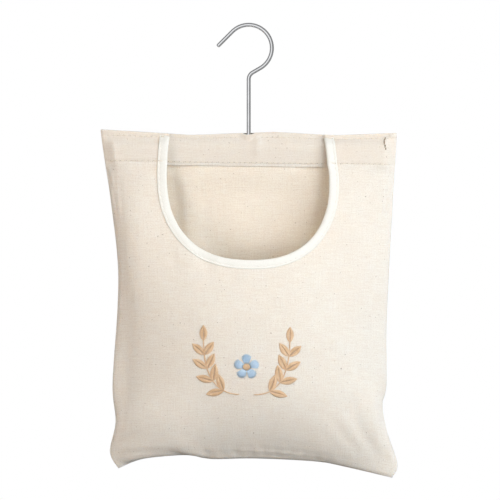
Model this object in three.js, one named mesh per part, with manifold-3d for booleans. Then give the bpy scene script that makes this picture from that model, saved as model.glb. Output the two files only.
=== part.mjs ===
// A hanging peg bag: canvas panels with a scooped, bound mouth, on a wooden bar that turns on a wire hook.
// Millimetres, +Z up, front towards -Y. The origin is the place inside the hook's bend that bears on a rail.
import * as THREE from "three";
import { mergeVertices } from "three/addons/utils/BufferGeometryUtils.js";
import Module from "manifold-3d";

const solids = await Module();
solids.setup();
const { Manifold } = solids;

// Clearance between pieces that touch or are sewn together
const GAP = 0.3;

// Wire hook
const WIRE_D = 4;
const LOOP_R = 23.2; // to the middle of the wire
const TIP_ANGLE = 135; // degrees round the loop where the straight tip leaves it
const TIP_LENGTH = 21;
const NECK_SLOPE = 30; // degrees below level on the way back to the stem
const NECK_BEND_R = 8;
const HEAD_D = WIRE_D + 1.8;
const HEAD_H = 1.6;
const WASHER_D = HEAD_D + 0.4;
const WASHER_H = 0.8;

// Cloth and thread
const CLOTH = 1;
const TAPE = 0.7; // one leg of the folded binding
const THREAD = 0.6;
const ALLOWANCE = 2; // two layers of canvas and their overlocking

// Top of the bag, measured down from the top edge along the cloth
const HANG_DROP = 106.5; // from the hook's bearing place to the top edge
const TOP_HALF = 147.5;
const TOP_TILT = 1.5; // the left end hangs this much higher than the middle
const TOP_ROW = 4.5;
const CASING = 25; // between the top row of stitches and the casing's lower row
const STRIP_TURN = 3.5; // strip below its lower row
const FACING_STEP = 2; // from the casing strip forward to a facing
const FRONT_STEP = 1.8; // from a facing forward to the front panel
const LOWER_ROW = TOP_ROW + CASING;
const STRIP_FOOT = LOWER_ROW + STRIP_TURN;

// Hanger bar
const BAR_HEIGHT = 14;
const BAR_THICK = 8;
const BAR_BEVEL = 1; // round its ends
const BAR_END_ROOM = 14; // from each end of the bar to the side seam
const BAR_DROP = TOP_ROW + CASING / 2;
const BAR_PUFF = BAR_THICK / 2 + CLOTH + GAP;
const BORE_D = WIRE_D + 2 * GAP;
const COUNTERBORE_D = WASHER_D + 2 * GAP;
const COUNTERBORE_H = 5;
const PARTING_HALF = 9; // half the length of the slit that the hook's stem comes out of

// Bag as hung, from the photograph
const PANEL_H = 340; // along the cloth, from the top edge to the bottom seam
const LEFT_DROP = 337;
const RIGHT_DROP = 342.5;
const FRONT_SWELL = 42;
const BACK_SWELL = 30;
const FRONT_FADE = 60; // below the casing, where the front no longer stands off for the bar
const ROLL_REACH = 24; // from a seam to the top of the roll of spare cloth beside it
const ROLL_FADE = 40; // length over which a roll or crease begins and ends
const SPARE = 0.75; // height of a side roll, by how far the side is drawn in
const FRONT_TAKEN = 0.8; // share of the spare cloth that the swelling takes up at its fullest
const BACK_TAKEN = 0.5;
const FOOT_ROLL = 8; // height of the roll above the bottom seam
const FOOT_ROLL_PLACE = -92; // across from the middle
const FOOT_ROLL_HALF = 32;
const CREASE = 3; // depth of the back panel's two creases
const CREASE_PLACE = 88; // to either side of the middle
const CREASE_HALF = 12;
const CREASE_END = 210; // below the top edge
const SIDE_PULL = 4; // power by which a side's drawing in dies away across the panel
const BOTTOM_PULL = 3; // power by which the bottom edge's rise dies away up the panel

// Rise of the top edge above its tilted line, by share of the half width
const TOP_WAVE = [[-1, 1.8], [-0.55, -2.5], [0, 1.3], [0.6, -0.8], [0.85, -1.4], [1, 1.3]];
// How far each side is drawn in from the top corner, by share of its drop
const LEFT_INSET = [[0, 0], [0.1, 4.8], [0.2, 9.8], [0.38, 16.8], [0.52, 16.8], [0.75, 11.8], [0.86, 14.8],
  [0.95, 8.8], [1, 16.8]];
const RIGHT_INSET = [[0, 0], [0.24, 4.8], [0.43, 8.2], [0.57, 10.2], [0.73, 10.2], [0.8, 15.5], [0.87, 9.2],
  [0.96, -0.8], [1, 4.2]];
// Rise of the bottom edge above the line between its corners, by share of that line
const BOTTOM_RISE = [[0, 0], [0.06, 8], [0.12, 12.5], [0.25, 16.3], [0.34, 13.2], [0.5, 15.1], [0.72, 14],
  [0.84, 9], [1, 0]];

// Mouth, as cut in the flat front panel
const MOUTH_SHIFT = -2; // its middle, from the panel's middle
const MOUTH_TOP_HALF = 77.8;
const MOUTH_HALF = 83.2;
const MOUTH_WIDEST = 53; // below the top edge
const MOUTH_DROP = 127;
const MOUTH_POWER = 2.3; // of the rounded bottom, between an ellipse at 2 and a box
const BINDING_W = 8;
const BINDING_ROW = 2; // from the binding's sewn edge to its stitches

// Seam allowances, inside the seams
const ALLOWANCE_W = 8;
const ALLOWANCE_ROOM = CLOTH + 3 * GAP + ALLOWANCE / 2; // from the middle plane to a slanting panel

// Embroidered sprigs either side of a blossom
const MOTIF_CENTRE = [-4, 233]; // across from the middle, and below the top edge
const MOTIF_LIFT = 0.5;
const MOTIF_THICK = 0.8;
const MOTIF_HALF_W = 43; // to the end of a stem
const MOTIF_HALF_H = 28;
const STEM_START = 7; // from the middle
const STEM_W = 1.8;
const LEAF_LENGTH = 19;
const LEAF_W = 7.4;
const LEAVES_PER_SIDE = 4;
const PETALS = 5;
const PETAL_R = 5.4;
const PETAL_RING_R = 7.4;
const EYE_R = 3.6;

const { degToRad, lerp, smoothstep, clamp } = THREE.MathUtils;
const vec2 = (x, y) => new THREE.Vector2(x, y);
const vec3 = (x, y, z) => new THREE.Vector3(x, y, z);
const steps = (count, from, to) => Array.from({ length: count + 1 }, (_, i) => lerp(from, to, i / count));

// Solids for joining and cutting
function solidOf(geometry) {
  const bare = geometry.clone();
  bare.deleteAttribute("normal");
  bare.deleteAttribute("uv");
  const merged = mergeVertices(bare, 1e-4);
  const vertProperties = merged.attributes.position.array;
  const triVerts = new Uint32Array(merged.index.array);
  return new Manifold(new solids.Mesh({ numProp: 3, vertProperties, triVerts }));
}

function geometryOf(solid) {
  const mesh = solid.getMesh();
  const geometry = new THREE.BufferGeometry();
  geometry.setAttribute("position", new THREE.BufferAttribute(mesh.vertProperties, 3));
  geometry.setIndex(new THREE.BufferAttribute(mesh.triVerts, 1));
  geometry.computeVertexNormals();
  return geometry;
}

function uprightCylinder(diameter, bottom, top) {
  const geometry = new THREE.CylinderGeometry(diameter / 2, diameter / 2, top - bottom, 24);
  geometry.rotateX(Math.PI / 2);
  geometry.translate(0, 0, (bottom + top) / 2);
  return geometry;
}

// A grid of points on the middle of a sheet, with its normals
function surface(points) {
  const last = points.length - 1;
  const end = points[0].length - 1;
  const normals = points.map((row, i) => row.map((_, j) => {
    const down = vec3().subVectors(points[Math.min(i + 1, last)][j], points[Math.max(i - 1, 0)][j]);
    const across = vec3().subVectors(points[i][Math.min(j + 1, end)], points[i][Math.max(j - 1, 0)]);
    return down.cross(across).normalize();
  }));
  return { points, normals };
}

// A closed solid of even thickness about a surface
function sheet({ points, normals }, thickness) {
  const rows = points.length;
  const columns = points[0].length;
  const count = rows * columns;
  const position = [];
  for (const side of [0.5, -0.5]) {
    points.forEach((row, i) => row.forEach((point, j) => {
      position.push(...point.clone().addScaledVector(normals[i][j], side * thickness).toArray());
    }));
  }
  const index = [];
  const quad = (a, b, c, d) => index.push(a, b, c, a, c, d);
  const rim = (a, b) => quad(a, b, b + count, a + count);
  for (let i = 0; i < rows - 1; i += 1) {
    for (let j = 0; j < columns - 1; j += 1) {
      const a = i * columns + j;
      quad(a, a + columns, a + columns + 1, a + 1);
      quad(a + count, a + 1 + count, a + columns + 1 + count, a + columns + count);
    }
    rim((i + 1) * columns, i * columns);
    rim(i * columns + columns - 1, (i + 1) * columns + columns - 1);
  }
  for (let j = 0; j < columns - 1; j += 1) {
    rim(j, j + 1);
    rim((rows - 1) * columns + j + 1, (rows - 1) * columns + j);
  }
  const geometry = new THREE.BufferGeometry();
  geometry.setAttribute("position", new THREE.Float32BufferAttribute(position, 3));
  geometry.setIndex(index);
  geometry.computeVertexNormals();
  return geometry;
}

// A thread lying on one side of a surface, from a list of places on it
function thread(places, thickness, side) {
  const lift = thickness / 2 + GAP + THREAD / 2;
  const middle = places.map(({ point, normal }) => point.clone().addScaledVector(normal, side * lift));
  const ribbon = middle.map((point, i) => {
    const along = vec3().subVectors(middle[Math.min(i + 1, middle.length - 1)], middle[Math.max(i - 1, 0)]);
    const across = along.cross(places[i].normal).setLength(THREAD / 2);
    return [point.clone().sub(across), point.clone().add(across)];
  });
  return sheet(surface(ribbon), THREAD);
}

function rowOf({ points, normals }, row, keep) {
  const places = points[row].map((point, j) => ({ point, normal: normals[row][j] }));
  return places.filter(({ point }, j) => keep(point, j));
}

// Outline of the hung bag, seen from the front
const curveThrough = (knots, place) => new THREE.SplineCurve(knots.map(place));
const topLeft = vec2(-TOP_HALF, TOP_TILT - HANG_DROP);
const topRight = vec2(TOP_HALF, -TOP_TILT - HANG_DROP);
const leftEdge = curveThrough(LEFT_INSET,
  ([share, inset]) => vec2(topLeft.x + inset, topLeft.y - share * LEFT_DROP));
const rightEdge = curveThrough(RIGHT_INSET,
  ([share, inset]) => vec2(topRight.x - inset, topRight.y - share * RIGHT_DROP));
const bottomLeft = leftEdge.getPointAt(1);
const bottomRight = rightEdge.getPointAt(1);
const bottomEdge = curveThrough(BOTTOM_RISE,
  ([share, rise]) => vec2().lerpVectors(bottomLeft, bottomRight, share).add(vec2(0, rise)));
const topWave = curveThrough(TOP_WAVE, ([share, rise]) => vec2(share, rise));

// Where a place on the flat panel hangs, seen from the front: u across from -1 to 1, d down from the top edge
const flatFoot = [vec2(-TOP_HALF, bottomLeft.y), vec2(TOP_HALF, bottomRight.y)];

function spread(u, d) {
  const across = (u + 1) / 2;
  const down = d / PANEL_H;
  const place = (share) => vec2().lerpVectors(topLeft, topRight, share)
    .lerp(vec2().lerpVectors(...flatFoot, share), down);
  const pulls = [
    leftEdge.getPointAt(down).sub(place(0)).multiplyScalar((1 - across) ** SIDE_PULL),
    rightEdge.getPointAt(down).sub(place(1)).multiplyScalar(across ** SIDE_PULL),
    footPull(across).multiplyScalar(down ** BOTTOM_PULL),
    vec2(0, topWave.getPointAt(across).y * (1 - smoothstep(d, 0, 2 * TOP_ROW))),
  ];
  return pulls.reduce((sum, pull) => sum.add(pull), place(across));
}

function footPull(across) {
  const [left, right] = flatFoot;
  return bottomEdge.getPointAt(across).sub(vec2().lerpVectors(left, right, across))
    .sub(bottomLeft.clone().sub(left).multiplyScalar((1 - across) ** SIDE_PULL))
    .sub(bottomRight.clone().sub(right).multiplyScalar(across ** SIDE_PULL));
}

// How far the casing stands off its middle plane for the bar, and for the hook's stem above the bar
const nearBar = (u) => smoothstep((1 - Math.abs(u)) * TOP_HALF, 0, BAR_END_ROOM - CLOTH - GAP);

function barPuff(u, d) {
  const away = (d - BAR_DROP) / (CASING / 2);
  return BAR_PUFF * nearBar(u) * Math.max(0, 1 - away * away);
}

function casingHalf(u, d) {
  const reach = Math.max(0, 1 - (u * TOP_HALF / PARTING_HALF) ** 2);
  const parting = d < BAR_DROP ? (WIRE_D + GAP) / 2 * reach * reach : 0;
  return (CLOTH + GAP) / 2 + Math.max(barPuff(u, d), parting);
}

// The filled bag's swelling down its middle, from 0 at the seams to 1 at its fullest
function fill(d, start) {
  const share = clamp((d - start) / (PANEL_H - start), 0, 1);
  return Math.max(0, Math.sin(Math.PI * share ** 1.5)) ** 0.75;
}

const swell = (u, d, start) => (1 - u * u) * fill(d, start);

// Spare cloth that stands out beside the seams where they are drawn in
const besideSeam = (away) => away / ROLL_REACH * Math.exp(1 - away / ROLL_REACH);

function sideRoll(u, d, spare) {
  const down = d / PANEL_H;
  const leftInset = leftEdge.getPointAt(down).x + TOP_HALF;
  const rightInset = TOP_HALF - rightEdge.getPointAt(down).x;
  const between = smoothstep(d, STRIP_FOOT, STRIP_FOOT + ROLL_FADE) * smoothstep(PANEL_H - d, 0, ROLL_FADE);
  const rolls = leftInset * besideSeam((1 + u) * TOP_HALF) + rightInset * besideSeam((1 - u) * TOP_HALF);
  return between * spare * rolls;
}

function footRoll(u, d) {
  const aside = (u * TOP_HALF - FOOT_ROLL_PLACE) / FOOT_ROLL_HALF;
  return FOOT_ROLL * (1 - u * u) * Math.exp(-aside * aside) * besideSeam(PANEL_H - d);
}

// Shallow creases in the back panel, where its side rolls meet the swelling
function sideCrease(u, d) {
  const aside = (Math.abs(u) * TOP_HALF - CREASE_PLACE) / CREASE_HALF;
  const begin = smoothstep(d, STRIP_FOOT, STRIP_FOOT + ROLL_FADE);
  const end = 1 - smoothstep(d, CREASE_END - ROLL_FADE, CREASE_END);
  return CREASE * begin * end * Math.exp(-aside * aside);
}

function backPoint(u, d) {
  const place = spread(u, d);
  const spare = SPARE * (1 - BACK_TAKEN * fill(d, LOWER_ROW) ** 3);
  const rolls = sideRoll(u, d, spare) + footRoll(u, d) - sideCrease(u, d);
  return vec3(place.x, casingHalf(u, d) + BACK_SWELL * swell(u, d, LOWER_ROW) + rolls, place.y);
}

function casingPoint(u, d) {
  const place = spread(u, d);
  return vec3(place.x, -casingHalf(u, d), place.y);
}

function frontPoint(u, d) {
  const place = spread(u, d);
  const puff = d < BAR_DROP ? barPuff(u, d) : BAR_PUFF * nearBar(u);
  const standing = 1 - smoothstep(d, STRIP_FOOT, STRIP_FOOT + FRONT_FADE);
  const stack = (FACING_STEP + FRONT_STEP + puff) * standing;
  const spare = SPARE * (1 - FRONT_TAKEN * fill(d, TOP_ROW) ** 3);
  const rolls = sideRoll(u, d, spare) + footRoll(u, d);
  return vec3(place.x, -(CLOTH + GAP) / 2 - stack - FRONT_SWELL * swell(u, d, TOP_ROW) - rolls, place.y);
}

// Hook: tip, loop, neck and stem in the XZ plane
class LevelArc extends THREE.Curve {
  constructor(centre, radius, from, to) {
    super();
    Object.assign(this, { centre, radius, from, to });
  }

  getPoint(t) {
    const angle = degToRad(lerp(this.from, this.to, t));
    return vec3(Math.cos(angle), 0, Math.sin(angle)).multiplyScalar(this.radius).add(this.centre);
  }
}

const loopCentre = vec3(0, 0, WIRE_D / 2 - LOOP_R);
const loopEnd = NECK_SLOPE - 90;
const loop = new LevelArc(loopCentre, LOOP_R, TIP_ANGLE, loopEnd);
const tipStart = loop.getPoint(0);
const tipRun = degToRad(TIP_ANGLE + 90);
const tip = vec3(tipStart.x + TIP_LENGTH * Math.cos(tipRun), 0, tipStart.z + TIP_LENGTH * Math.sin(tipRun));
const neckTop = loop.getPoint(1);
const neckFoot = vec3(0, 0, neckTop.z - neckTop.x * Math.tan(degToRad(NECK_SLOPE)));
const bendReach = NECK_BEND_R * Math.tan(degToRad(90 - NECK_SLOPE) / 2);
const bendStart = neckFoot.clone().add(neckTop.clone().sub(neckFoot).setLength(bendReach));
const bendCentre = vec3(NECK_BEND_R, 0, neckFoot.z - bendReach);
const bend = new LevelArc(bendCentre, NECK_BEND_R, 90 + NECK_SLOPE, 180);

const barZ = -HANG_DROP - BAR_DROP * (HANG_DROP + bottomEdge.getPointAt(0.5).y) / -PANEL_H;
const barBottom = barZ - BAR_HEIGHT / 2;
const boreFloor = barBottom + COUNTERBORE_H;
const washerTop = boreFloor - GAP;
const headTop = washerTop - WASHER_H - GAP;

const wire = new THREE.CurvePath();
wire.add(new THREE.LineCurve3(tip, tipStart));
wire.add(loop);
wire.add(new THREE.LineCurve3(neckTop, bendStart));
wire.add(bend);
wire.add(new THREE.LineCurve3(bend.getPoint(1), vec3(0, 0, headTop - HEAD_H / 2)));
const wireSection = new THREE.Shape();
wireSection.absarc(0, 0, WIRE_D / 2, 0, 2 * Math.PI);
const wireSolid = new THREE.ExtrudeGeometry(wireSection, {
  steps: 66,
  curveSegments: 5,
  extrudePath: wire,
  bevelEnabled: false,
});
const head = uprightCylinder(HEAD_D, headTop - HEAD_H, headTop);
const hook = geometryOf(solidOf(wireSolid).add(solidOf(head)));

const washer = geometryOf(solidOf(uprightCylinder(WASHER_D, washerTop - WASHER_H, washerTop))
  .subtract(solidOf(uprightCylinder(BORE_D, washerTop - 2 * WASHER_H, washerTop + WASHER_H))));

// Hanger bar with rounded edges, bored for the stem and counterbored below for its washer and head
const barHalf = TOP_HALF - BAR_END_ROOM;
const barSection = new THREE.Shape();
barSection.absarc(0, (BAR_HEIGHT - BAR_THICK) / 2, BAR_THICK / 2, 0, Math.PI);
barSection.absarc(0, (BAR_THICK - BAR_HEIGHT) / 2, BAR_THICK / 2, Math.PI, 2 * Math.PI);
const barBlank = new THREE.ExtrudeGeometry(barSection, {
  depth: 2 * (barHalf - BAR_BEVEL),
  bevelThickness: BAR_BEVEL,
  bevelSize: BAR_BEVEL,
  bevelOffset: -BAR_BEVEL,
  bevelSegments: 2,
  curveSegments: 10,
});
barBlank.translate(0, 0, BAR_BEVEL - barHalf);
barBlank.rotateX(Math.PI / 2);
barBlank.rotateZ(Math.PI / 2);
barBlank.translate(0, 0, barZ);
const bar = geometryOf(solidOf(barBlank)
  .subtract(solidOf(uprightCylinder(BORE_D, barBottom - 1, barZ + BAR_HEIGHT)))
  .subtract(solidOf(uprightCylinder(COUNTERBORE_D, barBottom - 1, boreFloor))));

// Back panel and casing strip, with columns close together at the sides, the creases and the hook
const bandRows = [0, ...steps(6, TOP_ROW, LOWER_ROW)];
const slitEnd = PARTING_HALF + 2;
const mouthEnds = [-1, 1].map((side) => MOUTH_SHIFT + side * (MOUTH_TOP_HALF - 3));
const slit = [-slitEnd, ...steps(6, -PARTING_HALF, PARTING_HALF), slitEnd];
const namedColumns = [...slit, ...mouthEnds, -CREASE_PLACE, CREASE_PLACE].map((x) => x / TOP_HALF);
const sideColumns = steps(22, -90, 90).map((a) => Math.sin(degToRad(a))).filter((u) => Math.abs(u) > 0.1);
const columns = [...sideColumns, ...namedColumns].sort((a, b) => a - b);
const footRows = [20, 10, 4, 0].map((up) => PANEL_H - up);
const backRows = [...bandRows, ...steps(13, LOWER_ROW, footRows[0]).slice(1), ...footRows.slice(1)];
const stripRows = [...bandRows, STRIP_FOOT];
const back = surface(backRows.map((d) => columns.map((u) => backPoint(u, d))));
const strip = surface(stripRows.map((d) => columns.map((u) => casingPoint(u, d))));
const lowerRow = bandRows.length - 1;

// Front panel: a horseshoe of places between the mouth's edge and the other three edges of the flat panel
function mouthHalf(d) {
  const rise = (MOUTH_WIDEST - d) / MOUTH_WIDEST;
  return MOUTH_HALF - (MOUTH_HALF - MOUTH_TOP_HALF) * rise * rise;
}

function mouthBottom(angle) {
  const across = Math.sign(Math.cos(angle)) * Math.abs(Math.cos(angle)) ** (2 / MOUTH_POWER);
  const down = Math.sin(angle) ** (2 / MOUTH_POWER);
  return vec2(MOUTH_SHIFT - MOUTH_HALF * across, lerp(MOUTH_WIDEST, MOUTH_DROP, down));
}

function panelEdge(share) {
  const side = 3 * share;
  if (side < 1) return vec2(-TOP_HALF, lerp(MOUTH_WIDEST, PANEL_H, side));
  if (side > 2) return vec2(TOP_HALF, lerp(PANEL_H, MOUTH_WIDEST, side - 2));
  return vec2(lerp(-TOP_HALF, TOP_HALF, side - 1), PANEL_H);
}

const shoulderRows = [...bandRows.filter((d) => d <= BAR_DROP), LOWER_ROW, STRIP_FOOT,
  lerp(STRIP_FOOT, MOUTH_WIDEST, 0.5)];
const shoulder = (side) => shoulderRows.map((d) => ({
  inner: vec2(MOUTH_SHIFT + side * mouthHalf(d), d),
  outer: vec2(side * TOP_HALF, d),
}));
const round = steps(42, 0, 1).map((share) => ({
  inner: mouthBottom(Math.PI * share),
  outer: panelEdge(share),
}));
const stations = [...shoulder(-1), ...round, ...shoulder(1).reverse()];
const shares = [0, 0.1, 0.22, 0.35, 0.48, 0.61, 0.74, 0.86, 0.94, 0.98, 1];
const front = surface(stations.map(({ inner, outer }) => {
  const clear = inner.clone().add(outer.clone().sub(inner).setLength(BINDING_W + 1));
  const places = [inner, ...shares.map((share) => vec2().lerpVectors(clear, outer, share))];
  return places.map((place) => frontPoint(place.x / TOP_HALF, place.y));
}));
const lastStation = stations.length - 1;
const facingRow = shoulderRows.indexOf(LOWER_ROW);
const facingEnd = shoulderRows.indexOf(STRIP_FOOT);

// Facings: strips behind the shoulders, on the same places as the front panel
function facing(first, count) {
  const rows = front.points.slice(first, first + count);
  return surface(rows.map((row) => row.slice(1).map((point) => point.clone().add(vec3(0, FRONT_STEP, 0)))));
}

const leftFacing = facing(0, facingEnd + 1);
const rightFacing = facing(lastStation - facingEnd, facingEnd + 1);

// Binding: a tape folded over the mouth's edge
const tapeLift = CLOTH / 2 + GAP + TAPE / 2;
const edgeFrames = front.points.map((row, i) => ({
  edge: row[0],
  inward: row[1].clone().sub(row[0]).normalize(),
  normal: front.normals[i][0],
}));
const onTape = ({ edge, inward, normal }, along, lift) => edge.clone().addScaledVector(inward, along)
  .addScaledVector(normal, lift);
const fold = steps(4, 0, Math.PI).map((a) => [-tapeLift * Math.sin(a), tapeLift * Math.cos(a)]);
const tapeSection = [[BINDING_W, tapeLift], ...fold, [BINDING_W, -tapeLift]];
const tapeRow = (frame) => tapeSection.map(([along, lift]) => onTape(frame, along, lift));
const tape = surface(edgeFrames.map(tapeRow));

// Rows of stitches
const frontSide = Math.sign(-front.normals[0][1].y);
const backSide = Math.sign(back.normals[0][1].y);
const fullRow = () => true;
const columnX = (j) => columns[j] * TOP_HALF;
const besideHook = (side) => (point, j) => side * columnX(j) > slitEnd - GAP;
const betweenEnds = (j) => columnX(j) > mouthEnds[0] - GAP && columnX(j) < mouthEnds[1] + GAP;
const inMouth = (side) => (point, j) => besideHook(side)(point, j) && betweenEnds(j);
const pastBinding = (point, j) => j > 0;
const bindingPlaces = edgeFrames.map((frame) => ({
  point: onTape(frame, BINDING_W - BINDING_ROW, frontSide * tapeLift),
  normal: frame.normal,
}));

// Seam allowances inside the bag, along its sides and bottom, from where the panels leave room for them
function seamRoom(place) {
  let inset = 0;
  const room = () => Math.min(-frontPoint(...place(inset)).y, backPoint(...place(inset)).y);
  while (room() < ALLOWANCE_ROOM) inset += 0.1;
  return inset;
}

function allowance(places) {
  return surface(places.map((place) => {
    const start = seamRoom(place);
    const flat = steps(2, start, start + ALLOWANCE_W).map((inset) => spread(...place(inset)));
    return flat.map(({ x, y }) => vec3(x, 0, y));
  }));
}

const inFromSide = (side) => (d) => (inset) => [side * (1 - inset / TOP_HALF), d];
const upFromFoot = (u) => (inset) => [u, PANEL_H - inset];
const sidePlaces = steps(18, 0.25 * PANEL_H, 0.9 * PANEL_H);
const leftAllowance = allowance(sidePlaces.map(inFromSide(-1)));
const rightAllowance = allowance(sidePlaces.map(inFromSide(1)));
const bottomAllowance = allowance(steps(20, -0.72, 0.72).map(upFromFoot));

// Embroidery: drawn flat, then laid on the hung panel
const stemCurve = new THREE.QuadraticBezierCurve(
  vec2(STEM_START, MOTIF_HALF_H),
  vec2(MOTIF_HALF_W, MOTIF_HALF_H),
  vec2(MOTIF_HALF_W, -MOTIF_HALF_H),
);

function flatPiece(outline) {
  const shape = { depth: MOTIF_THICK, bevelEnabled: false, curveSegments: 4 };
  return solidOf(new THREE.ExtrudeGeometry(outline, shape));
}

function leaf(base, direction, length) {
  const ahead = vec2(Math.cos(direction), Math.sin(direction));
  const aside = vec2(-ahead.y, ahead.x);
  const at = (along, across) => base.clone().addScaledVector(ahead, along).addScaledVector(aside, across);
  const [left, right, point] = [at(length / 2, LEAF_W), at(length / 2, -LEAF_W), at(length, 0)];
  const outline = new THREE.Shape();
  outline.moveTo(base.x, base.y);
  outline.quadraticCurveTo(left.x, left.y, point.x, point.y);
  outline.quadraticCurveTo(right.x, right.y, base.x, base.y);
  return flatPiece(outline);
}

function sprig() {
  const middle = stemCurve.getSpacedPoints(12);
  const edge = (side) => middle.map((point, i) => {
    const along = stemCurve.getTangentAt(i / 12);
    return point.clone().add(vec2(-along.y, along.x).multiplyScalar(side * STEM_W / 2));
  });
  let solid = flatPiece(new THREE.Shape([...edge(1), ...edge(-1).reverse()]));
  for (let i = 0; i <= LEAVES_PER_SIDE; i += 1) {
    const share = lerp(0.22, 0.96, i / LEAVES_PER_SIDE);
    const along = stemCurve.getTangentAt(share).angle();
    const turns = i < LEAVES_PER_SIDE ? [-0.75, 0.75] : [0];
    for (const turn of turns) {
      const length = LEAF_LENGTH * lerp(1, 0.8, share);
      solid = solid.add(leaf(stemCurve.getPointAt(share), along + turn, length));
    }
  }
  return geometryOf(solid);
}

function disc(x, y, radius) {
  const outline = new THREE.Shape();
  outline.absarc(x, y, radius, 0, 2 * Math.PI);
  return flatPiece(outline);
}

function blossom() {
  const angles = steps(PETALS - 1, 0, 360 - 360 / PETALS).map((a) => degToRad(a - 90));
  const petals = angles.map((a) => disc(PETAL_RING_R * Math.cos(a), PETAL_RING_R * Math.sin(a), PETAL_R));
  return geometryOf(Manifold.union(petals).add(disc(0, 0, PETAL_RING_R)).subtract(flatHole(EYE_R + GAP)));
}

function flatHole(radius) {
  const cutter = uprightCylinder(2 * radius, -MOTIF_THICK, 2 * MOTIF_THICK);
  return solidOf(cutter);
}

// Lay a flat piece on the front panel; an unmirrored one comes out inside out, so its faces are turned round
function laidOn(geometry, mirror) {
  const laid = geometry.clone();
  const position = laid.attributes.position;
  for (let i = 0; i < position.count; i += 1) {
    const u = (MOTIF_CENTRE[0] + mirror * position.getX(i)) / TOP_HALF;
    const d = MOTIF_CENTRE[1] + position.getY(i);
    const across = frontPoint(u + 0.01, d).sub(frontPoint(u - 0.01, d));
    const down = frontPoint(u, d + 1).sub(frontPoint(u, d - 1));
    const normal = down.cross(across).normalize();
    const lift = CLOTH / 2 + MOTIF_LIFT + position.getZ(i);
    const point = frontPoint(u, d).addScaledVector(normal, Math.sign(-normal.y) * lift);
    position.setXYZ(i, point.x, point.y, point.z);
  }
  if (mirror > 0) laid.setIndex([...laid.index.array].reverse());
  laid.computeVertexNormals();
  return laid;
}

// The assembly
const CANVAS = { color: 0xeee3cf, roughness: 0.95 };
const WHITE_TAPE = { color: 0xf7f3ea, roughness: 0.9 };
const SEWING_THREAD = { color: 0xf0e8d8, roughness: 0.8 };
const TAN_FLOSS = { color: 0xb98f5e, roughness: 0.6 };
const BLUE_FLOSS = { color: 0xa9c3cf, roughness: 0.6 };
const STEEL = { color: 0xc8cacc, roughness: 0.25, metalness: 1 };
const WOOD = { color: 0xc79f6b, roughness: 0.7 };

const bag = new THREE.Group();
bag.name = "peg_bag";

function add(name, geometry, look) {
  const mesh = new THREE.Mesh(geometry, new THREE.MeshStandardMaterial(look));
  mesh.name = name;
  bag.add(mesh);
}

add("hook", hook, STEEL);
add("hook_washer", washer, STEEL);
add("hanger_bar", bar, WOOD);
add("back_panel", sheet(back, CLOTH), CANVAS);
add("casing_strip", sheet(strip, CLOTH), CANVAS);
add("front_panel", sheet(front, CLOTH), CANVAS);
add("left_facing", sheet(leftFacing, CLOTH), CANVAS);
add("right_facing", sheet(rightFacing, CLOTH), CANVAS);
add("mouth_binding", sheet(tape, TAPE), WHITE_TAPE);
add("left_allowance", sheet(leftAllowance, ALLOWANCE), CANVAS);
add("right_allowance", sheet(rightAllowance, ALLOWANCE), CANVAS);
add("bottom_allowance", sheet(bottomAllowance, ALLOWANCE), CANVAS);
for (const [name, side, shoulderStation] of [["left", -1, 0], ["right", 1, lastStation]]) {
  const station = (row) => shoulderStation - side * row;
  const shoulderRow = (row) => rowOf(front, station(row), pastBinding);
  add(`${name}_top_stitches`, thread(shoulderRow(1), CLOTH, frontSide), SEWING_THREAD);
  add(`${name}_facing_stitches`, thread(shoulderRow(facingRow), CLOTH, frontSide), SEWING_THREAD);
  add(`${name}_casing_top_stitches`, thread(rowOf(strip, 1, inMouth(side)), CLOTH, -backSide), SEWING_THREAD);
  add(`${name}_back_top_stitches`, thread(rowOf(back, 1, besideHook(side)), CLOTH, backSide), SEWING_THREAD);
}
add("casing_stitches", thread(rowOf(strip, lowerRow, fullRow), CLOTH, -backSide), SEWING_THREAD);
add("back_casing_stitches", thread(rowOf(back, lowerRow, fullRow), CLOTH, backSide), SEWING_THREAD);
add("binding_stitches", thread(bindingPlaces, TAPE, frontSide), SEWING_THREAD);
add("left_sprig", laidOn(sprig(), -1), TAN_FLOSS);
add("right_sprig", laidOn(sprig(), 1), TAN_FLOSS);
add("blossom", laidOn(blossom(), 1), BLUE_FLOSS);
add("blossom_eye", laidOn(geometryOf(disc(0, 0, EYE_R)), 1), TAN_FLOSS);

export default bag;
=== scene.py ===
import math

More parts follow.
